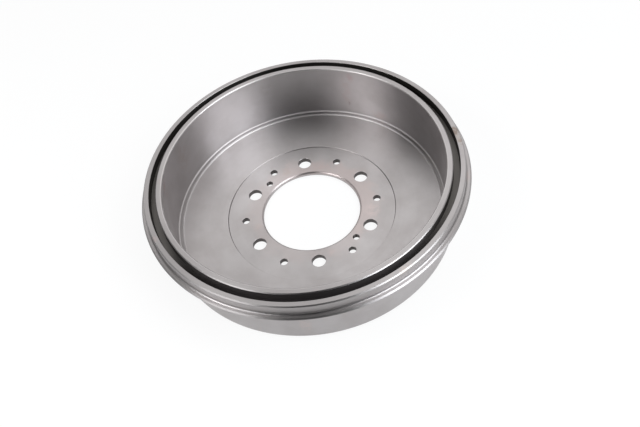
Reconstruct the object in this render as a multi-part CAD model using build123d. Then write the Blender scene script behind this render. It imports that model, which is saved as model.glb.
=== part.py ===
from build123d import *
import os

# Brake drum, one grey iron casting turned all over.
# It stands on its wheel face, open end up, with +Z along its axis.
# Lengths are millimetres and angles are degrees.

# Web and hub seat
web_thickness = 5.8
bore_diameter = 107.5
bore_mouth_chamfer = 2.5
bore_foot_chamfer = 1.5
hub_seat_diameter = 186.2
hub_seat_recess = 0.9
floor_fall = 2.9
floor_foot_chamfer = 0.8
wheel_pad_diameter = 190.0
wheel_pad_height = 1.2

# Wheel stud holes
stud_circle_diameter = 139.7
stud_hole_diameter = 15.0
stud_hole_chamfer = 0.5
stud_count = 6
stud_angle = 30.0

# Plain holes between the studs
web_hole_circle_diameter = 146.8
web_hole_diameter = 8.5
web_hole_angle_from_stud = 30.0

# Tapped holes for the jack screws
jack_hole_circle_diameter = 128.5
jack_hole_diameter = 6.8
jack_hole_chamfer = 0.3
jack_hole_count = 2
jack_hole_angle = 132.0

# Friction wall
friction_diameter = 295.0
wall_thickness = 9.3
shelf_width = 4.2
shelf_rise = 2.1
shelf_chamfer = 0.5
shelf_foot_chamfer = 2.0
body_corner_fillet = 5.0
pad_edge_chamfer = 0.6

# Rim, measured up from the wheel face or down from the top of the outer lip
outer_lip_height = 76.55
inner_lip_rise = 1.4
inner_lip_thickness = 6.45
inner_lip_inner_chamfer = 1.3
inner_lip_outer_chamfer = 0.85
groove_width = 7.3
groove_depth = 9.3
groove_foot_chamfer = 0.5
outer_lip_thickness = 5.8
outer_lip_chamfer = 1.1

# Flange under the outer lip
flange_ledge = 5.4
flange_drop = 12.45
flange_thickness = 4.3
flange_top_chamfer = 1.45
flange_bottom_chamfer = 2.35
flange_top_foot_chamfer = 1.2
flange_root_chamfer = 3.0

# Radii and heights that follow from the sizes above
bore_radius = bore_diameter / 2
seat_radius = hub_seat_diameter / 2
pad_radius = wheel_pad_diameter / 2
friction_radius = friction_diameter / 2
body_radius = friction_radius + wall_thickness
shelf_radius = friction_radius - shelf_width
groove_inner_radius = friction_radius + inner_lip_thickness
groove_outer_radius = groove_inner_radius + groove_width
lip_radius = groove_outer_radius + outer_lip_thickness
flange_radius = lip_radius + flange_ledge

floor_at_seat = web_thickness + hub_seat_recess
floor_at_wall = floor_at_seat + floor_fall
shelf_height = floor_at_wall + shelf_rise
inner_lip_height = outer_lip_height + inner_lip_rise
groove_floor = outer_lip_height - groove_depth
flange_top = outer_lip_height - flange_drop
flange_bottom = flange_top - flange_thickness

# Corners of the half section, as radius and height, anticlockwise from the bore's foot.
corners = {
    "bore foot": (bore_radius, 0),
    "pad edge": (pad_radius, 0),
    "pad root": (pad_radius, wheel_pad_height),
    "body foot": (body_radius, wheel_pad_height),
    "flange root": (body_radius, flange_bottom),
    "flange underside edge": (flange_radius, flange_bottom),
    "flange top edge": (flange_radius, flange_top),
    "lip root": (lip_radius, flange_top),
    "outer lip outer edge": (lip_radius, outer_lip_height),
    "outer lip inner edge": (groove_outer_radius, outer_lip_height),
    "groove outer foot": (groove_outer_radius, groove_floor),
    "groove inner foot": (groove_inner_radius, groove_floor),
    "inner lip outer edge": (groove_inner_radius, inner_lip_height),
    "inner lip inner edge": (friction_radius, inner_lip_height),
    "shelf root": (friction_radius, shelf_height),
    "shelf edge": (shelf_radius, shelf_height),
    "floor at wall": (shelf_radius, floor_at_wall),
    "floor at seat": (seat_radius, floor_at_seat),
    "seat root": (seat_radius, web_thickness),
    "bore mouth": (bore_radius, web_thickness),
}

chamfers = {
    "bore foot": bore_foot_chamfer,
    "bore mouth": bore_mouth_chamfer,
    "pad edge": pad_edge_chamfer,
    "flange underside edge": flange_bottom_chamfer,
    "flange top edge": flange_top_chamfer,
    "outer lip outer edge": outer_lip_chamfer,
    "inner lip outer edge": inner_lip_outer_chamfer,
    "inner lip inner edge": inner_lip_inner_chamfer,
    "shelf edge": shelf_chamfer,
    "shelf root": shelf_foot_chamfer,
    "floor at wall": floor_foot_chamfer,
    "groove outer foot": groove_foot_chamfer,
    "groove inner foot": groove_foot_chamfer,
    "lip root": flange_top_foot_chamfer,
    "flange root": flange_root_chamfer,
}


upright = (Align.CENTER, Align.CENTER, Align.MIN)


def corner_of(face, name):
    """Vertex of the half section that lies at a named corner."""
    radius, height = corners[name]
    return face.vertices().sort_by_distance(Vector(radius, height, 0))[0]


def half_section():
    """Half section of the casting, with its radius along X and its height along Y."""
    face = make_face(Polyline(*corners.values(), close=True))
    for name, length in chamfers.items():
        face = chamfer(corner_of(face, name), length)
    return fillet(corner_of(face, "body foot"), body_corner_fillet)


def plain_cutter(diameter):
    """Cutter for one plain hole through the web."""
    return Cylinder(diameter / 2, web_thickness, align=upright)


def widened_cutter(diameter, mouth_chamfer):
    """Cutter for one hole through the web, widened at both mouths."""
    radius = diameter / 2
    lower_mouth = Cone(radius + mouth_chamfer, radius, mouth_chamfer, align=upright)
    upper_mouth = Cone(radius, radius + mouth_chamfer, mouth_chamfer, align=upright)
    return plain_cutter(diameter) + lower_mouth + Pos(0, 0, web_thickness - mouth_chamfer) * upper_mouth


def drilled(solid, circle_diameter, count, angle, cutter):
    """The solid with a ring of equal holes cut through its web."""
    for place in PolarLocations(circle_diameter / 2, count, start_angle=angle):
        solid = solid - place * cutter
    return solid


brake_drum = revolve(Plane.XZ * half_section(), Axis.Z)
brake_drum = drilled(
    brake_drum, stud_circle_diameter, stud_count, stud_angle,
    widened_cutter(stud_hole_diameter, stud_hole_chamfer))
brake_drum = drilled(
    brake_drum, web_hole_circle_diameter, stud_count, stud_angle + web_hole_angle_from_stud,
    plain_cutter(web_hole_diameter))
brake_drum = drilled(
    brake_drum, jack_hole_circle_diameter, jack_hole_count, jack_hole_angle,
    widened_cutter(jack_hole_diameter, jack_hole_chamfer))

os.makedirs("parts", exist_ok=True)
export_step(brake_drum, "parts/brake_drum.step")
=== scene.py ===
"""Looks of the turned cast-iron brake drum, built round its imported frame.

The drum stands on its wheel face, open end up, with +Z along its axis. Sizes are millimetres and
degrees where nothing else is said, and the meshes are metres.
"""

import logging
import math
from dataclasses import dataclass
from enum import Enum

import bmesh
import bpy
from mathutils import Matrix, Vector

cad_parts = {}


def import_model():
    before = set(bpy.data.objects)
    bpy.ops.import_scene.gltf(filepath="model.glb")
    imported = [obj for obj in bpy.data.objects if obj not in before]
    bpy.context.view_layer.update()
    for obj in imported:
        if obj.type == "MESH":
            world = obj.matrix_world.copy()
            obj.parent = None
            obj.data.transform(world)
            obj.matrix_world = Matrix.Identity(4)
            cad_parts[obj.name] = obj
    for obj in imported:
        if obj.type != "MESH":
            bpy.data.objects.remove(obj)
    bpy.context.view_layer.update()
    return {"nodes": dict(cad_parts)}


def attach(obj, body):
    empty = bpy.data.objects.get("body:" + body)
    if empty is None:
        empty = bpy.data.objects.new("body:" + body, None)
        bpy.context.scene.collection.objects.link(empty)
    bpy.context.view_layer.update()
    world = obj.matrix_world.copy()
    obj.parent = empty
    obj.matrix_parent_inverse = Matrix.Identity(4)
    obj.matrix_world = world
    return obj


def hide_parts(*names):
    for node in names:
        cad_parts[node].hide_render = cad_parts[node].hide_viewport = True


LOG = logging.getLogger("brake_drum")

Color = tuple[float, float, float, float]
Range = tuple[float, float]

MM = 0.001
MERGE_DISTANCE = 1e-7  # metres
SHARP_ANGLE = 24.0
WEB_THICKNESS = 5.8
JACK_CIRCLE = 128.5
JACK_ANGLES = (312.0, 132.0)
BEYOND = 180.0  # past the drum's greatest radius
ABOVE = 80.0  # past the drum's greatest height
HALF_TURN = 180.0
WHITE: Color = (1.0, 1.0, 1.0, 1.0)
MIX_FIRST, MIX_SECOND, MIX_RESULT = 6, 7, 2  # the Mix node's colour sockets
DRUM_NODE = "brake_drum"


class Ease(Enum):
    """How a corner of the turned section is eased, as a number of segments."""

    SHARP = 0
    BEVEL = 1
    ROUND = 8


class RayKind(Enum):
    """Light Path outputs that the studio answers to."""

    CAMERA = "Is Camera Ray"
    GLOSSY = "Is Glossy Ray"
    TRANSMISSION = "Is Transmission Ray"


# Mesh helpers


def shade(mesh: bpy.types.Mesh) -> None:
    """Shade a mesh smooth, apart from its sharp edges."""
    mesh.shade_smooth()
    mesh.set_sharp_from_angle(angle=math.radians(SHARP_ANGLE))


def finished_object(name: str, mesh_data: bmesh.types.BMesh) -> bpy.types.Object:
    """Turn a bmesh into a shown object at the origin.

    Args:
        name: Name of the object and its mesh.
        mesh_data: The bmesh, which is freed.

    Returns:
        The linked object.
    """
    mesh = bpy.data.meshes.new(name)
    mesh_data.to_mesh(mesh)
    mesh_data.free()
    shade(mesh)
    piece = bpy.data.objects.new(name, mesh)
    bpy.context.scene.collection.objects.link(piece)
    return piece


def close_skin(mesh_data: bmesh.types.BMesh) -> None:
    """Merge the doubled corners of a skin and turn its faces outwards."""
    bmesh.ops.remove_doubles(mesh_data, verts=list(mesh_data.verts), dist=MERGE_DISTANCE)
    bmesh.ops.recalc_face_normals(mesh_data, faces=list(mesh_data.faces))


def turn_section(mesh_data: bmesh.types.BMesh, steps: int) -> None:
    """Spin a wire section about the Z axis into a closed skin.

    Args:
        mesh_data: A bmesh that holds one closed wire loop in the XZ plane.
        steps: Number of steps in the full turn.
    """
    bmesh.ops.spin(
        mesh_data,
        geom=list(mesh_data.verts) + list(mesh_data.edges),
        cent=(0, 0, 0),
        axis=(0, 0, 1),
        angle=math.tau,
        steps=steps,
        use_merge=True,
    )
    close_skin(mesh_data)


def wire_loop(corners: list[tuple[float, float]]) -> bmesh.types.BMesh:
    """Make a closed wire loop in the XZ plane.

    Args:
        corners: Radius and height of each corner.

    Returns:
        A bmesh whose vertices are in the order of the corners.
    """
    mesh_data = bmesh.new()
    ring = [mesh_data.verts.new((radius * MM, 0, height * MM)) for radius, height in corners]
    for start, end in zip(ring, ring[1:] + ring[:1]):
        mesh_data.edges.new((start, end))
    return mesh_data


def on_circle(diameter: float, turn: float) -> Vector:
    """Find a point on a circle round the drum's axis.

    Args:
        diameter: The circle's diameter.
        turn: The point's azimuth, in radians.

    Returns:
        The point, in metres.
    """
    return Vector((math.cos(turn), math.sin(turn), 0)) * (diameter / 2 * MM)


# The casting


@dataclass(frozen=True)
class Corner:
    """One corner of the turned section."""

    radius: float
    height: float
    ease: Ease = Ease.SHARP
    size: float = 0.0


@dataclass(frozen=True)
class DrumSection:
    """The drum's turned half section, from the bore round to the bore again."""

    web_thickness: float = WEB_THICKNESS
    bore_radius: float = 53.75
    bore_mouth: float = 2.5
    bore_foot: float = 1.5
    seat_radius: float = 93.1
    seat_recess: float = 0.9
    seat_bevel: float = 0.15
    floor_fall: float = 2.9
    pad_radius: float = 95.0
    pad_height: float = 1.2
    pad_bevel: float = 0.6
    friction_radius: float = 147.5
    body_radius: float = 156.8
    body_round: float = 5.0
    shelf_width: float = 4.2
    shelf_rise: float = 2.1
    shelf_edge: float = 0.3
    shelf_foot: float = 1.3
    floor_foot: float = 1.65
    outer_height: float = 76.55
    inner_rise: float = 1.4
    inner_lip: float = 6.45
    inner_lip_round: float = 1.3
    inner_lip_bevel: float = 0.85
    groove_width: float = 7.3
    groove_depth: float = 9.3
    groove_foot: float = 0.8
    groove_bevel: float = 0.25
    outer_lip: float = 5.8
    outer_lip_bevel: float = 1.1
    flange_ledge: float = 5.39
    flange_drop: float = 12.45
    flange_thickness: float = 4.3
    flange_foot: float = 2.0
    flange_edge: float = 1.45
    flange_under_edge: float = 2.35
    flange_root: float = 3.6
    steps: int = 360

    def corners(self) -> list[Corner]:
        """Corners of the section, in order.

        Returns:
            The corners, each with its ease.
        """
        groove_in = self.friction_radius + self.inner_lip
        groove_out = groove_in + self.groove_width
        lip = groove_out + self.outer_lip
        flange = lip + self.flange_ledge
        seat_edge = self.web_thickness + self.seat_recess
        floor = seat_edge + self.floor_fall
        shelf = floor + self.shelf_rise
        shelf_radius = self.friction_radius - self.shelf_width
        inner_top = self.outer_height + self.inner_rise
        groove_floor = self.outer_height - self.groove_depth
        ledge = self.outer_height - self.flange_drop
        under = ledge - self.flange_thickness
        return [
            Corner(self.bore_radius, 0, Ease.BEVEL, self.bore_foot),
            Corner(self.pad_radius, 0, Ease.BEVEL, self.pad_bevel),
            Corner(self.pad_radius, self.pad_height),
            Corner(self.body_radius, self.pad_height, Ease.ROUND, self.body_round),
            Corner(self.body_radius, under, Ease.ROUND, self.flange_root),
            Corner(flange, under, Ease.BEVEL, self.flange_under_edge),
            Corner(flange, ledge, Ease.BEVEL, self.flange_edge),
            Corner(lip, ledge, Ease.ROUND, self.flange_foot),
            Corner(lip, self.outer_height, Ease.BEVEL, self.outer_lip_bevel),
            Corner(groove_out, self.outer_height, Ease.BEVEL, self.groove_bevel),
            Corner(groove_out, groove_floor, Ease.ROUND, self.groove_foot),
            Corner(groove_in, groove_floor, Ease.ROUND, self.groove_foot),
            Corner(groove_in, inner_top, Ease.BEVEL, self.inner_lip_bevel),
            Corner(self.friction_radius, inner_top, Ease.ROUND, self.inner_lip_round),
            Corner(self.friction_radius, shelf, Ease.ROUND, self.shelf_foot),
            Corner(shelf_radius, shelf, Ease.ROUND, self.shelf_edge),
            Corner(shelf_radius, floor, Ease.ROUND, self.floor_foot),
            Corner(self.seat_radius, seat_edge, Ease.BEVEL, self.seat_bevel),
            Corner(self.seat_radius, self.web_thickness),
            Corner(self.bore_radius, self.web_thickness, Ease.ROUND, self.bore_mouth),
        ]

    def spun(self) -> bmesh.types.BMesh:
        """Ease the corners and spin the section.

        Returns:
            The closed skin of the undrilled drum.
        """
        corners = self.corners()
        mesh_data = wire_loop([(corner.radius, corner.height) for corner in corners])
        for vertex, corner in zip(list(mesh_data.verts), corners):
            if corner.ease is Ease.SHARP:
                continue
            bmesh.ops.bevel(
                mesh_data,
                geom=[vertex],
                offset=corner.size * MM,
                offset_type="OFFSET",
                segments=corner.ease.value,
                profile=0.5,
                affect="VERTICES",
                clamp_overlap=False,
                material=-1,
            )
        turn_section(mesh_data, self.steps)
        return mesh_data


@dataclass(frozen=True)
class HoleRing:
    """Equal holes on one circle, square through the web."""

    name: str
    circle: float
    diameter: float
    count: int
    angle: float
    mouth: float
    web_thickness: float = WEB_THICKNESS
    overrun: float = 2.0
    steps: int = 72

    def cutter(self) -> bpy.types.Object:
        """Build one mesh that holds a cutter for every hole.

        Returns:
            The cutter object.
        """
        radius = self.diameter / 2
        wide = radius + self.mouth + self.overrun
        low, high = -self.overrun, self.web_thickness + self.overrun
        mesh_data = wire_loop([
            (0, low),
            (wide, low),
            (radius, self.mouth),
            (radius, self.web_thickness - self.mouth),
            (wide, high),
            (0, high),
        ])
        turn_section(mesh_data, self.steps)
        first, faces = list(mesh_data.verts), list(mesh_data.faces)
        for index in range(1, self.count):
            copied = bmesh.ops.duplicate(mesh_data, geom=first + faces)["geom"]
            verts = [item for item in copied if isinstance(item, bmesh.types.BMVert)]
            self.place(mesh_data, verts, index)
        self.place(mesh_data, first, 0)
        return finished_object(self.name, mesh_data)

    def place(
        self,
        mesh_data: bmesh.types.BMesh,
        verts: list[bmesh.types.BMVert],
        index: int,
    ) -> None:
        """Move one cutter to its hole.

        Args:
            mesh_data: The cutters' bmesh.
            verts: The vertices of one cutter, which stands on the drum's axis.
            index: Number of the hole on the circle.
        """
        turn = math.radians(self.angle) + math.tau * index / self.count
        bmesh.ops.translate(mesh_data, verts=verts, vec=on_circle(self.circle, turn))


@dataclass(frozen=True)
class DrumCasting:
    """The whole drum: turned section and drilled web."""

    section: DrumSection = DrumSection()
    rings: tuple[HoleRing, ...] = (
        HoleRing("stud_holes", circle=139.7, diameter=15.0, count=6, angle=30.0, mouth=0.2),
        HoleRing("web_holes", circle=146.8, diameter=8.3, count=6, angle=0.0, mouth=0.1),
        HoleRing(
            "jack_holes",
            circle=JACK_CIRCLE,
            diameter=7.3,
            count=len(JACK_ANGLES),
            angle=JACK_ANGLES[0],
            mouth=0.1,
        ),
    )

    def build(self) -> bpy.types.Object:
        """Spin the casting and drill it.

        Returns:
            The drum object.
        """
        drum = finished_object("turned_drum", self.section.spun())
        for ring in self.rings:
            self.drill(drum, ring)
        shade(drum.data)
        return drum

    @staticmethod
    def drill(drum: bpy.types.Object, ring: HoleRing) -> None:
        """Cut a ring of holes and apply the cut.

        Args:
            drum: The drum object.
            ring: The holes.
        """
        cutter = ring.cutter()
        cut = drum.modifiers.new(ring.name, "BOOLEAN")
        cut.operation = "DIFFERENCE"
        cut.solver = "EXACT"
        cut.object = cutter
        bpy.context.view_layer.update()
        evaluated = drum.evaluated_get(bpy.context.evaluated_depsgraph_get())
        drilled = bpy.data.meshes.new_from_object(evaluated)
        drum.modifiers.clear()
        drum.data = drilled
        bpy.data.objects.remove(cutter)


@dataclass(frozen=True)
class JackThread:
    """The thread ridge inside one jack hole, a screwed triangle with a flat crest."""

    name: str
    angle: float
    circle: float = JACK_CIRCLE
    pitch: float = 1.25
    root_radius: float = 3.8
    root_share: float = 0.44  # half the ridge's foot, as a share of the pitch
    crest_radius: float = 3.4
    crest_half_width: float = 0.08
    low: float = 0.4
    high: float = 5.4
    steps_per_turn: int = 32

    def build(self) -> bpy.types.Object:
        """Screw the ridge up through the hole.

        Returns:
            The thread object.
        """
        turns = (self.high - self.low - self.pitch) / self.pitch
        steps = round(turns * self.steps_per_turn)
        mid = self.low + self.pitch / 2
        half = self.pitch * self.root_share
        mesh_data = wire_loop([
            (self.root_radius, mid - half),
            (self.crest_radius, mid - self.crest_half_width),
            (self.crest_radius, mid + self.crest_half_width),
            (self.root_radius, mid + half),
        ])
        face = mesh_data.faces.new(list(mesh_data.verts))
        bmesh.ops.spin(
            mesh_data,
            geom=[face, *face.edges, *face.verts],
            cent=(0, 0, 0),
            axis=(0, 0, 1),
            dvec=(0, 0, turns * self.pitch * MM / steps),
            angle=math.tau * turns,
            steps=steps,
            use_duplicate=False,
        )
        close_skin(mesh_data)
        centre = on_circle(self.circle, math.radians(self.angle))
        bmesh.ops.translate(mesh_data, verts=list(mesh_data.verts), vec=centre)
        return finished_object(self.name, mesh_data)


# Shader maths


class Wire:
    """A shader socket with arithmetic, so that masks read as expressions."""

    def __init__(self, graph: "Graph", socket: bpy.types.NodeSocket | None) -> None:
        """Keep the graph and the output socket."""
        self.graph = graph
        self.socket = socket

    def math(self, operation: str, *others: "Wire | float", clamp: bool = False) -> "Wire":
        """Add one Math node.

        Args:
            operation: The Math node's operation.
            others: Its second and third values.
            clamp: Whether the result is kept between 0 and 1.

        Returns:
            The result.
        """
        settings = {"operation": operation, "use_clamp": clamp}
        return self.graph.node("ShaderNodeMath", settings, dict(enumerate((self, *others))))

    def __add__(self, other: "Wire | float") -> "Wire":
        """Sum."""
        return self.math("ADD", other)

    def __mul__(self, other: "Wire | float") -> "Wire":
        """Product."""
        return self.math("MULTIPLY", other)

    def __sub__(self, other: "Wire | float") -> "Wire":
        """Difference."""
        return self.math("SUBTRACT", other)

    def __rsub__(self, other: float) -> "Wire":
        """Difference from a number."""
        return self.math("MULTIPLY", -1.0).math("ADD", other)

    def __truediv__(self, other: "Wire | float") -> "Wire":
        """Quotient."""
        return self.math("DIVIDE", other)

    def step(self, low: float, high: float) -> "Wire":
        """Rise smoothly from 0 at low to 1 at high, or fall where low is the larger.

        Args:
            low: Value that gives 0.
            high: Value that gives 1.

        Returns:
            The smooth step.
        """
        settings = {"interpolation_type": "SMOOTHSTEP"}
        ends = {"From Min": min(low, high), "From Max": max(low, high)}
        rise = self.graph.node("ShaderNodeMapRange", settings, {"Value": self, **ends})
        return rise if low < high else 1 - rise

    def band(self, low: float, high: float, soft: float) -> "Wire":
        """Be 1 between two values and 0 outside them.

        Args:
            low: Lower end.
            high: Upper end.
            soft: Half the width of the soft edges.

        Returns:
            The mask.
        """
        return self.step(low - soft, low + soft) * self.step(high + soft, high - soft)


class Graph:
    """One material's or world's node tree, emptied and ready."""

    def __init__(self, tree: bpy.types.NodeTree) -> None:
        """Empty the tree."""
        self.tree = tree
        tree.nodes.clear()

    def node(
        self,
        kind: str,
        settings: dict[str, object] | None = None,
        values: dict[int | str, object] | None = None,
        output: int | str = 0,
    ) -> Wire:
        """Add any node.

        Args:
            kind: The node's type.
            settings: Properties that are set first.
            values: Input sockets by name or number, each a Wire or a constant.
            output: Which output to return.

        Returns:
            The chosen output.
        """
        made = self.tree.nodes.new(kind)
        for key, value in (settings or {}).items():
            setattr(made, key, value)
        for key, value in (values or {}).items():
            if isinstance(value, Wire):
                self.tree.links.new(value.socket, made.inputs[key])
            else:
                made.inputs[key].default_value = value
        return Wire(self, made.outputs[output] if len(made.outputs) else None)

    def vector(self, operation: str, *vectors: Wire | tuple, output: str = "Vector") -> Wire:
        """Add one Vector Math node.

        Args:
            operation: The node's operation.
            vectors: Its vectors.
            output: Which output to return.

        Returns:
            The result.
        """
        values = dict(enumerate(vectors))
        return self.node("ShaderNodeVectorMath", {"operation": operation}, values, output)

    def combine(self, x: Wire | float, y: Wire | float, z: Wire | float) -> Wire:
        """Join three numbers into a vector."""
        return self.node("ShaderNodeCombineXYZ", values={0: x, 1: y, 2: z})

    def split(self, vector: Wire) -> tuple[Wire, ...]:
        """Split a vector into its three numbers."""
        first = self.node("ShaderNodeSeparateXYZ", values={0: vector})
        return tuple(Wire(self, socket) for socket in first.socket.node.outputs)

    def noise(self, where: Wire, scale: float, detail: float, roughness: float) -> Wire:
        """Read smooth noise at a place.

        Args:
            where: The vector to read at.
            scale: Cells per unit.
            detail: Octaves.
            roughness: Strength of the finer octaves.

        Returns:
            The noise, about 0.5.
        """
        values = {"Vector": where, "Scale": scale, "Detail": detail, "Roughness": roughness}
        return self.node("ShaderNodeTexNoise", {"noise_dimensions": "3D"}, values)

    def mix(self, share: Wire, low: Wire | Color, high: Wire | Color) -> Wire:
        """Mix two colours.

        Args:
            share: Share of the second colour.
            low: First colour.
            high: Second colour.

        Returns:
            The mixed colour.
        """
        values = {0: share, MIX_FIRST: low, MIX_SECOND: high}
        return self.node("ShaderNodeMix", {"data_type": "RGBA"}, values, output=MIX_RESULT)


@dataclass(frozen=True)
class Place:
    """Place of a point round the drum's axis, as shader values.

    Attributes:
        radius: Distance from the axis.
        height: Height above the wheel face.
        east: Cosine of the azimuth.
        north: Sine of the azimuth.
        spot: The whole place as a vector.
    """

    radius: Wire
    height: Wire
    east: Wire
    north: Wire
    spot: Wire

    @staticmethod
    def read(graph: Graph) -> "Place":
        """Read the place from Object coordinates.

        Args:
            graph: The material's graph.

        Returns:
            The place.
        """
        metres = graph.node("ShaderNodeTexCoord", output="Object")
        settings = {"operation": "SCALE"}
        spot = graph.node("ShaderNodeVectorMath", settings, {0: metres, "Scale": 1 / MM})
        x, y, z = graph.split(spot)
        radius = (x * x + y * y).math("SQRT")
        return Place(radius, z, x / radius, y / radius, spot)


# The drum's looks


@dataclass(frozen=True)
class Zone:
    """A ring-shaped part of the drum's skin.

    Attributes:
        radii: Its inner and outer radius.
        heights: Its low and high end.
        soft: Half the width of the soft edges, in radius and in height.
    """

    radii: Range
    heights: Range
    soft: Range = (0.1, 0.1)

    def share(self, place: Place) -> Wire:
        """Share of the zone at a point, 1 inside it and 0 outside."""
        across = place.radius.band(*self.radii, self.soft[0])
        return across * place.height.band(*self.heights, self.soft[1])


@dataclass(frozen=True)
class Side:
    """One side of the drum.

    Attributes:
        azimuth: Where its middle is.
        cosines: Cosines of the angles from its middle that give 0 and 1.
    """

    azimuth: float
    cosines: Range

    def share(self, place: Place) -> Wire:
        """Share of the side at a point."""
        turn = math.radians(self.azimuth)
        return (place.east * math.cos(turn) + place.north * math.sin(turn)).step(*self.cosines)


@dataclass(frozen=True)
class ToolMarks:
    """Noise that runs round the drum, as the marks of a turning tool do.

    Attributes:
        density: Marks per millimetre of the tool's way along the section.
        wander: How much a mark changes round the drum.
        detail: Octaves of the noise.
        roughness: Strength of the finer octaves.
        rise: Millimetres of the tool's way per millimetre of height.
    """

    density: float
    wander: float
    detail: float
    roughness: float
    rise: float = 0.6

    def read(self, graph: Graph, place: Place) -> Wire:
        """Read the marks.

        Args:
            graph: The material's graph.
            place: Where the point is.

        Returns:
            The marks, about 0.5.
        """
        along = (place.radius + place.height * self.rise) * self.density
        ring = graph.combine(place.east * self.wander, place.north * self.wander, along)
        return graph.noise(ring, 1.0, self.detail, self.roughness)


@dataclass(frozen=True)
class Smudge:
    """A soft stain round one point of the drum.

    Attributes:
        centre: The point.
        reach: How far it goes sideways.
        tall: How far it goes up and down.
        strength: Its strength in the middle, where above 1 makes its edge harder.
        color: Its colour.
        core: Share of the reach inside which it doesn't fade.
    """

    centre: tuple[float, float, float]
    reach: float
    tall: float
    strength: float
    color: Color
    core: float = 0.25

    def share(self, graph: Graph, place: Place, patch: Wire) -> Wire:
        """Share of the stain at a point.

        Args:
            graph: The material's graph.
            place: Where the point is.
            patch: Noise that breaks up the stain's edge.

        Returns:
            The share, 0 beyond the reach.
        """
        away = graph.vector("SUBTRACT", place.spot, self.centre)
        scaled = graph.vector("MULTIPLY", away, (1 / self.reach, 1 / self.reach, 1 / self.tall))
        distance = graph.vector("LENGTH", scaled, output="Value")
        return distance.step(1.0, self.core) * patch * self.strength


@dataclass(frozen=True)
class SeatStain:
    """The faint pink-brown stain on the hub seat, strongest on its far right.

    Attributes:
        radii: Radii where it ends and where it is full.
        raggedness: How far its edge wanders in and out.
        patch_scale: Cells of the edge's noise per millimetre.
        heights: Heights of the hub seat, with room.
        soft: Half the width of the soft ends in height.
        side: Its stronger side.
        least: Its share away from that side.
        more: What that side adds.
    """

    radii: Range = (78.0, 62.0)
    raggedness: float = 44.0
    patch_scale: float = 0.06
    heights: Range = (3.0, 7.3)
    soft: float = 0.6
    side: Side = Side(38.0, (-0.3, 0.6))
    least: float = 0.30
    more: float = 0.45

    def share(self, graph: Graph, place: Place) -> Wire:
        """Share of the stain at a point.

        Args:
            graph: The material's graph.
            place: Where the point is.

        Returns:
            The share.
        """
        patch = graph.noise(place.spot, self.patch_scale, detail=3.0, roughness=0.6)
        ragged = place.radius + (patch - 0.5) * self.raggedness
        seat = ragged.step(*self.radii) * place.height.band(*self.heights, self.soft)
        return seat * (self.side.share(place) * self.more + self.least)


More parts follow.
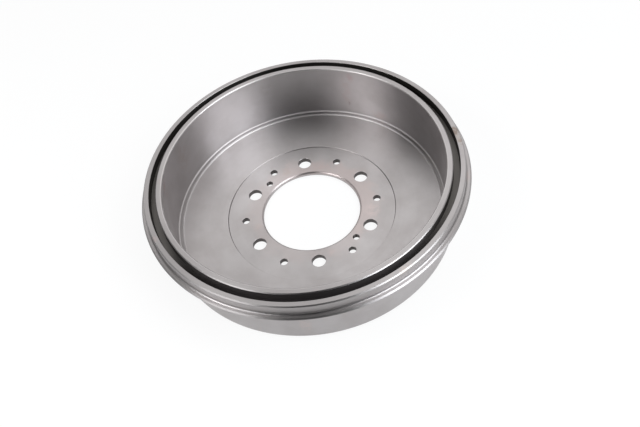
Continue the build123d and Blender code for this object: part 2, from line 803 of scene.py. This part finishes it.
@dataclass(frozen=True)
class TurnedIron:
    """Fine-turned bare grey iron."""

    # The bare metal
    name: str = "turned_iron"
    roughness: float = 0.36
    anisotropic: float = 0.75
    anisotropic_rotation: float = 0.25
    color: Color = (0.450, 0.429, 0.429, 1.0)

    # Tool lines, and the duller bands and clouds
    lines: ToolMarks = ToolMarks(density=1 / 0.55, wander=1.5, detail=2.0, roughness=0.6)
    line_depth: float = 0.009
    line_roughness: float = 0.10
    bands: ToolMarks = ToolMarks(density=0.22, wander=0.8, detail=3.0, roughness=0.5)
    cloud_scale: float = 0.035
    cloud_share: float = 0.87
    cloud_roughness: float = 0.08
    dull_range: Range = (0.35, 0.7)
    dull_color: Color = (0.408, 0.384, 0.382, 1.0)

    # Painted shade on the outside: darker on the rim's near and left sides, and on the body under
    # the flange
    rim: Zone = Zone((161.5, BEYOND), (59.0, ABOVE), (0.2, 1.0))
    inner_lip: Zone = Zone((148.4, 154.2), (77.5, ABOVE), (0.2, 0.1))
    inner_lip_shade: float = 0.7
    body: Zone = Zone((155.5, BEYOND), (39.0, 57.0), (0.5, 4.0))
    shaded_side: Side = Side(225.0, (-0.6, 0.0))
    side_shade_color: Color = (0.380, 0.361, 0.359, 1.0)

    # Flats and corners darkened with painted shade
    shelf_top: Zone = Zone((143.2, 146.2), (11.4, 12.0), (0.15, 0.1))
    ledge_foot: Zone = Zone((166.2, 168.7), (64.0, 66.3), (0.15, 0.15))
    ledge_foot_polish: float = 0.05
    recess_shade_color: Color = (0.330, 0.313, 0.312, 1.0)

    # Edges with painted highlights: a brighter colour on the shelf's edges and the wall's top
    # edge
    shelf_foot: Zone = Zone((146.3, 147.7), (11.5, 12.9))
    shelf_edge: Zone = Zone((142.0, 143.4), (9.65, 11.3))
    shelf_edge_highlight: float = 0.75
    wall_top: Zone = Zone((147.45, 148.9), (76.625, ABOVE), (0.05, 0.075))
    edge_highlight_color: Color = (0.560, 0.535, 0.530, 1.0)
    edge_roughness: float = 0.52

    # Painted shade in the groove, on the hole walls and in the seat corner
    groove: Zone = Zone((153.75, 161.4), (66.5, 76.375), (0.12, 0.375))
    groove_shade_color: Color = (0.115, 0.108, 0.102, 1.0)
    # painted shade, deeper on the groove's near side
    near_groove_side: Side = Side(267.0, (0.45, 0.85))
    near_groove_shade_color: Color = (0.058, 0.052, 0.052, 1.0)
    near_groove_roughness: float = 0.45
    hole_walls: Zone = Zone((59.0, 80.0), (0.08, 5.66), (0.2, 0.05))
    hole_shade_color: Color = (0.115, 0.105, 0.103, 1.0)
    seat_corner: Zone = Zone((92.6, 93.06), (5.0, 6.2), (0.03, 0.2))
    shaded_corner_sides: Range = (0.80, 0.97)
    seat_corner_shade_color: Color = (0.05, 0.045, 0.045, 1.0)

    # Stains and rust specks
    stain: SeatStain = SeatStain()
    stain_color: Color = (0.490, 0.425, 0.414, 1.0)
    smudge_scale: float = 0.16
    smudge_range: Range = (0.34, 0.60)
    smudges: tuple[Smudge, ...] = (
        # Outer lip: rust at its right, and a stain near the camera
        Smudge((164, 4, 76.5), 12.0, 6, 0.55, (0.400, 0.350, 0.320, 1.0)),
        Smudge((162, 13, 76.5), 7.5, 6, 1.8, (0.280, 0.232, 0.208, 1.0)),
        Smudge((166, -4, 76.5), 5.5, 6, 1.6, (0.350, 0.300, 0.275, 1.0)),
        Smudge((77, -145, 76.5), 17.0, 5, 0.55, (0.520, 0.458, 0.425, 1.0)),
        # Friction wall, and one on the left of the outer lip
        Smudge((68, 131, 68), 6.0, 10, 0.75, (0.430, 0.345, 0.345, 1.0)),
        Smudge((62, 134, 46), 9.0, 34, 0.50, (0.430, 0.365, 0.360, 1.0)),
        Smudge((64, 133, 27), 2.2, 4, 0.90, (0.230, 0.190, 0.185, 1.0)),
        Smudge((97, 111, 20), 14.0, 9, 0.60, (0.450, 0.375, 0.360, 1.0)),
        Smudge((-131, 68, 55), 16.0, 26, 0.45, (0.400, 0.345, 0.325, 1.0)),
        Smudge((-147, 12, 69), 10.0, 16, 0.85, (0.400, 0.330, 0.320, 1.0)),
        Smudge((-155, -61, 76), 7.0, 5, 0.80, (0.440, 0.380, 0.375, 1.0)),
        Smudge((-30, 144, 62), 12.0, 14, 0.35, (0.360, 0.325, 0.315, 1.0)),
        # Outside of the body, and flange
        Smudge((-21, -155, 26), 8.0, 22, 0.75, (0.500, 0.440, 0.425, 1.0)),
        Smudge((162, -38, 64), 12.0, 6, 0.60, (0.470, 0.410, 0.395, 1.0)),
        # Hub seat
        Smudge((19, 60, 6), 15.0, 5, 0.55, (0.480, 0.405, 0.390, 1.0)),
        Smudge((66, -15, 6), 13.0, 5, 0.70, (0.545, 0.470, 0.460, 1.0)),
        Smudge((48, -38, 6), 9.0, 5, 0.60, (0.520, 0.445, 0.430, 1.0)),
        Smudge((-60, -12, 6), 7.0, 5, 0.60, (0.480, 0.415, 0.400, 1.0)),
        Smudge((15, -63, 6), 7.0, 5, 0.60, (0.490, 0.420, 0.410, 1.0)),
        Smudge((-23, 62, 6), 9.0, 5, 0.60, (0.440, 0.375, 0.355, 1.0)),
    )

    def material(self) -> bpy.types.Material:
        """Build the material.

        Returns:
            The material.
        """
        material = bpy.data.materials.new(self.name)
        material.use_nodes = True
        graph = Graph(material.node_tree)
        place = Place.read(graph)
        lines = self.lines.read(graph, place)
        cloud = graph.noise(place.spot, self.cloud_scale, detail=3.0, roughness=0.55)
        # edges: mask of the painted highlights on the shelf's edges
        edges = self.shelf_foot.share(place) + self.shelf_edge.share(place) * self.shelf_edge_highlight
        ledge_foot = self.ledge_foot.share(place)
        groove = self.groove.share(place)
        near_groove_shade = groove * self.near_groove_side.share(place)

        layers = [
            (self.dull(graph, place, cloud), self.dull_color),
            # painted shade on the rim's near and left sides and under the flange
            (self.painted_side_shade(place), self.side_shade_color),
            # painted shade on the shelf top and in the ledge's foot
            (self.shelf_top.share(place) + ledge_foot, self.recess_shade_color),
            (self.stain.share(graph, place), self.stain_color),
            *self.marks(graph, place),
            # painted shade in the hub seat's corner
            (self.seat_corner_shade(place), self.seat_corner_shade_color),
            # painted highlights on the shelf's edges and the wall's top edge
            (edges + self.wall_top.share(place), self.edge_highlight_color),
            # painted shade in the groove, deeper on its near side
            (groove, self.groove_shade_color),
            (near_groove_shade, self.near_groove_shade_color),
            # painted shade on the hole walls
            (self.hole_walls.share(place), self.hole_shade_color),
        ]
        color: Wire | Color = self.color
        for share, layer_color in layers:
            color = graph.mix(share, color, layer_color)

        rough = (
            (lines - 0.5) * self.line_roughness
            + (cloud - 0.5) * self.cloud_roughness
            + self.roughness
        )
        rough = rough * (1 - edges) + edges * self.edge_roughness + near_groove_shade * self.near_groove_roughness
        rough = rough - ledge_foot * self.ledge_foot_polish
        relief = {"Strength": 1.0, "Distance": self.line_depth * MM, "Height": lines}
        shader = graph.node("ShaderNodeBsdfPrincipled", values={
            "Base Color": color,
            "Metallic": 1.0,
            "Roughness": rough,
            "Anisotropic": self.anisotropic,
            "Anisotropic Rotation": self.anisotropic_rotation,
            "Normal": graph.node("ShaderNodeBump", values=relief),
        })
        graph.node("ShaderNodeOutputMaterial", values={"Surface": shader})
        return material

    def dull(self, graph: Graph, place: Place, cloud: Wire) -> Wire:
        """Share of the duller iron, in clouds and a little in bands round the drum.

        Args:
            graph: The material's graph.
            place: Where the point is.
            cloud: Noise of the clouds.

        Returns:
            The share.
        """
        bands = self.bands.read(graph, place)
        mottled = cloud * self.cloud_share + bands * (1 - self.cloud_share)
        return mottled.step(*self.dull_range)

    def painted_side_shade(self, place: Place) -> Wire:
        """Share of the painted shade on the rim's near and left sides, and on the body under the
        flange.
        """
        lips = self.rim.share(place) + self.inner_lip.share(place) * self.inner_lip_shade
        return lips * self.shaded_side.share(place) + self.body.share(place)

    def seat_corner_shade(self, place: Place) -> Wire:
        """Share of the painted shade in the hub seat's corner, at its two sides."""
        sides = place.east.math("ABSOLUTE").step(*self.shaded_corner_sides)
        return self.seat_corner.share(place) * sides

    def marks(self, graph: Graph, place: Place) -> list[tuple[Wire, Color]]:
        """Share and colour of each smudge.

        Args:
            graph: The material's graph.
            place: Where the point is.

        Returns:
            The layers of colour, in order.
        """
        noise = graph.noise(place.spot, self.smudge_scale, detail=3.0, roughness=0.6)
        patch = noise.step(*self.smudge_range)
        return [(smudge.share(graph, place, patch), smudge.color) for smudge in self.smudges]


# Studio


@dataclass(frozen=True)
class Panel:
    """A bright, soft-edged part of the studio, by its directions from the drum.

    Attributes:
        azimuth: Azimuth of its middle.
        half_width: Half its width.
        low: Elevation of its lower end.
        high: Elevation of its upper end.
        level: Its brightness, where the white backdrop is 1.
        soft: Half the width of its soft edges.
    """

    azimuth: float
    half_width: float
    low: float
    high: float
    level: float
    soft: float

    def share(self, azimuth: Wire, elevation: Wire) -> Wire:
        """Mask of the panel in a direction.

        Args:
            azimuth: Azimuth of the direction.
            elevation: Elevation of the direction.

        Returns:
            1 inside the panel, and 0 outside.
        """
        away = (azimuth - self.azimuth).math("WRAP", HALF_TURN, -HALF_TURN).math("ABSOLUTE")
        across = away.step(self.half_width + self.soft, self.half_width - self.soft)
        return across * elevation.band(self.low, self.high, self.soft)


@dataclass(frozen=True)
class Softbox:
    """A soft area light that looks at the drum, with its distance and size in metres.

    Attributes:
        level: Its brightness, where the white backdrop is 1.
    """

    name: str
    azimuth: float
    elevation: float
    distance: float
    width: float
    height: float
    level: float
    tint: tuple[float, float, float]

    def build(self, target: Vector) -> None:
        """Hang the light.

        Args:
            target: The point it looks at, in metres.
        """
        lamp = bpy.data.lights.new(self.name, "AREA")
        lamp.shape = "RECTANGLE"
        lamp.size = self.width
        lamp.size_y = self.height
        lamp.energy = self.level * math.pi * self.width * self.height
        lamp.color = self.tint
        light = bpy.data.objects.new(self.name, lamp)
        bpy.context.scene.collection.objects.link(light)
        turn, rise = math.radians(self.azimuth), math.radians(self.elevation)
        level_way = Vector((math.cos(turn), math.sin(turn), 0)) * math.cos(rise)
        out = level_way + Vector((0, 0, math.sin(rise)))
        light.location = target + out * self.distance
        light.rotation_euler = (-out).to_track_quat("-Z", "Y").to_euler()
        light.visible_camera = False


@dataclass(frozen=True)
class Studio:
    """Plain pale floor, white backdrop and the studio's lights.

    Attributes:
        aim: The point of the drum's axis that the lights look at.
        floor_half_width: Half the floor's width, in metres.
        floor_gap: How far the floor lies under the drum.
        floor_color: Colour of the floor where it shows shade.
        floor_glow: Share of plain white that the camera sees in the floor at the drum.
        floor_sheen: Share of plain white that the drum mirrors from the floor.
        floor_fade: Radii between which the floor turns plain white to the camera.
    """

    aim: float = 40.0
    floor_half_width: float = 6.0
    floor_gap: float = 0.2
    floor_color: Color = (0.82, 0.82, 0.82, 1.0)
    floor_glow: float = 0.88
    floor_sheen: float = 0.55
    floor_fade: Range = (450.0, 1500.0)
    far_wall: Panel = Panel(93.4, 110.0, low=10.9, high=42.8, level=0.44, soft=10.0)
    ceiling: Panel = Panel(30.3, 96.0, low=36.9, high=90.7, level=1.30, soft=10.0)
    right_low_wall: Panel = Panel(17.7, 35.5, low=-2.9, high=25.0, level=0.41, soft=8.0)
    boxes: tuple[Softbox, ...] = (
        Softbox("left_softbox", 212.0, 41.0, 1.1, 0.56, 0.80, 3.30, (0.99, 1.0, 1.01)),
        Softbox("left_high_softbox", 190.0, 50.0, 1.2, 0.40, 0.24, 7.0, (0.99, 1.0, 1.01)),
        Softbox("right_softbox", 322.5, 38.0, 1.6, 1.16, 1.29, 4.60, (0.95, 1.0, 1.045)),
    )

    def build(self) -> None:
        """Hang the lights, lay the floor and set the world."""
        target = Vector((0, 0, self.aim * MM))
        for box in self.boxes:
            box.build(target)
        self.floor()
        self.world()

    def floor(self) -> None:
        """Lay the floor just under the drum."""
        mesh_data = bmesh.new()
        bmesh.ops.create_grid(mesh_data, x_segments=1, y_segments=1, size=self.floor_half_width)
        down = (0, 0, -self.floor_gap * MM)
        bmesh.ops.translate(mesh_data, verts=list(mesh_data.verts), vec=down)
        floor = finished_object("studio_floor", mesh_data)
        material = bpy.data.materials.new("pale_floor")
        material.use_nodes = True
        graph = Graph(material.node_tree)
        matt = graph.node("ShaderNodeBsdfDiffuse", values={"Color": self.floor_color})
        glow = graph.node("ShaderNodeEmission", values={"Color": WHITE, "Strength": 1.0})
        mirrored = self.seen(graph, RayKind.GLOSSY, RayKind.TRANSMISSION) * self.floor_sheen
        far = Place.read(graph).radius.step(*self.floor_fade)
        glow_share = far * (1 - self.floor_glow) + self.floor_glow
        share = self.seen(graph, RayKind.CAMERA) * glow_share + mirrored
        surface = graph.node("ShaderNodeMixShader", values={0: share, 1: matt, 2: glow})
        graph.node("ShaderNodeOutputMaterial", values={"Surface": surface})
        floor.data.materials.append(material)

    @staticmethod
    def seen(graph: Graph, *kinds: RayKind) -> Wire:
        """Mask of the rays of some kinds.

        Args:
            graph: The graph to read in.
            kinds: The kinds of ray.

        Returns:
            1 for a ray of any of the kinds.
        """
        rays = [graph.node("ShaderNodeLightPath", output=kind.value) for kind in kinds]
        total = rays[0]
        for ray in rays[1:]:
            total = total.math("ADD", ray, clamp=True)
        return total

    def world(self) -> None:
        """Show the camera a white backdrop, and light the drum with the panels."""
        world = bpy.data.worlds.new("white_studio")
        world.use_nodes = True
        bpy.context.scene.world = world
        graph = Graph(world.node_tree)
        x, y, z = graph.split(graph.node("ShaderNodeTexCoord", output="Generated"))
        azimuth = y.math("ARCTAN2", x).math("DEGREES")
        elevation = z.math("ARCSINE").math("DEGREES")
        lit: Wire | float = 0.0
        for panel in (self.far_wall, self.ceiling, self.right_low_wall):
            lit = panel.share(azimuth, elevation) * panel.level + lit
        camera = self.seen(graph, RayKind.CAMERA)
        light = {"Color": WHITE, "Strength": camera + (1 - camera) * lit}
        background = graph.node("ShaderNodeBackground", values=light)
        graph.node("ShaderNodeOutputWorld", values={"Surface": background})


@dataclass(frozen=True)
class StudioCamera:
    """Camera at the photograph's viewing angle, with its clip distances in metres."""

    place: tuple[float, float, float] = (29.623, -519.905, 645.403)
    heading: float = 91.0754
    pitch_down: float = 52.1352
    roll: float = -10.8171
    lens: float = 41.942
    sensor: float = 36.0
    shift: Range = (-0.01903, 0.01363)
    clip: Range = (0.05, 50.0)

    def build(self) -> None:
        """Set up the camera and make it the scene's."""
        data = bpy.data.cameras.new("studio_camera")
        data.lens = self.lens
        data.sensor_width = self.sensor
        data.sensor_fit = "HORIZONTAL"
        data.shift_x, data.shift_y = self.shift
        data.clip_start, data.clip_end = self.clip
        camera = bpy.data.objects.new("studio_camera", data)
        bpy.context.scene.collection.objects.link(camera)
        turn = Matrix.Rotation(math.radians(self.heading - 90), 4, "Z")
        tip = Matrix.Rotation(math.radians(90 - self.pitch_down), 4, "X")
        roll = Matrix.Rotation(math.radians(self.roll), 4, "Z")
        camera.matrix_world = Matrix.Translation(Vector(self.place) * MM) @ turn @ tip @ roll
        bpy.context.scene.camera = camera


def main() -> None:
    """Build the drum, its looks and the studio."""
    logging.basicConfig(level=logging.INFO, format="%(message)s")
    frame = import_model()
    LOG.info("nodes of the frame: %s", ", ".join(frame["nodes"]))
    bpy.context.scene.view_settings.view_transform = "Standard"

    StudioCamera().build()
    Studio().build()

    iron = TurnedIron().material()
    drum = DrumCasting().build()
    threads = [
        JackThread(f"jack_thread_{number}", angle).build()
        for number, angle in enumerate(JACK_ANGLES, start=1)
    ]
    for piece in (drum, *threads):
        piece.data.materials.clear()
        piece.data.materials.append(iron)
        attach(piece, "root")
        LOG.info("%s: %d faces", piece.name, len(piece.data.polygons))
    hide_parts(DRUM_NODE)

    bpy.context.view_layer.update()


if __name__ == "__main__":
    main()
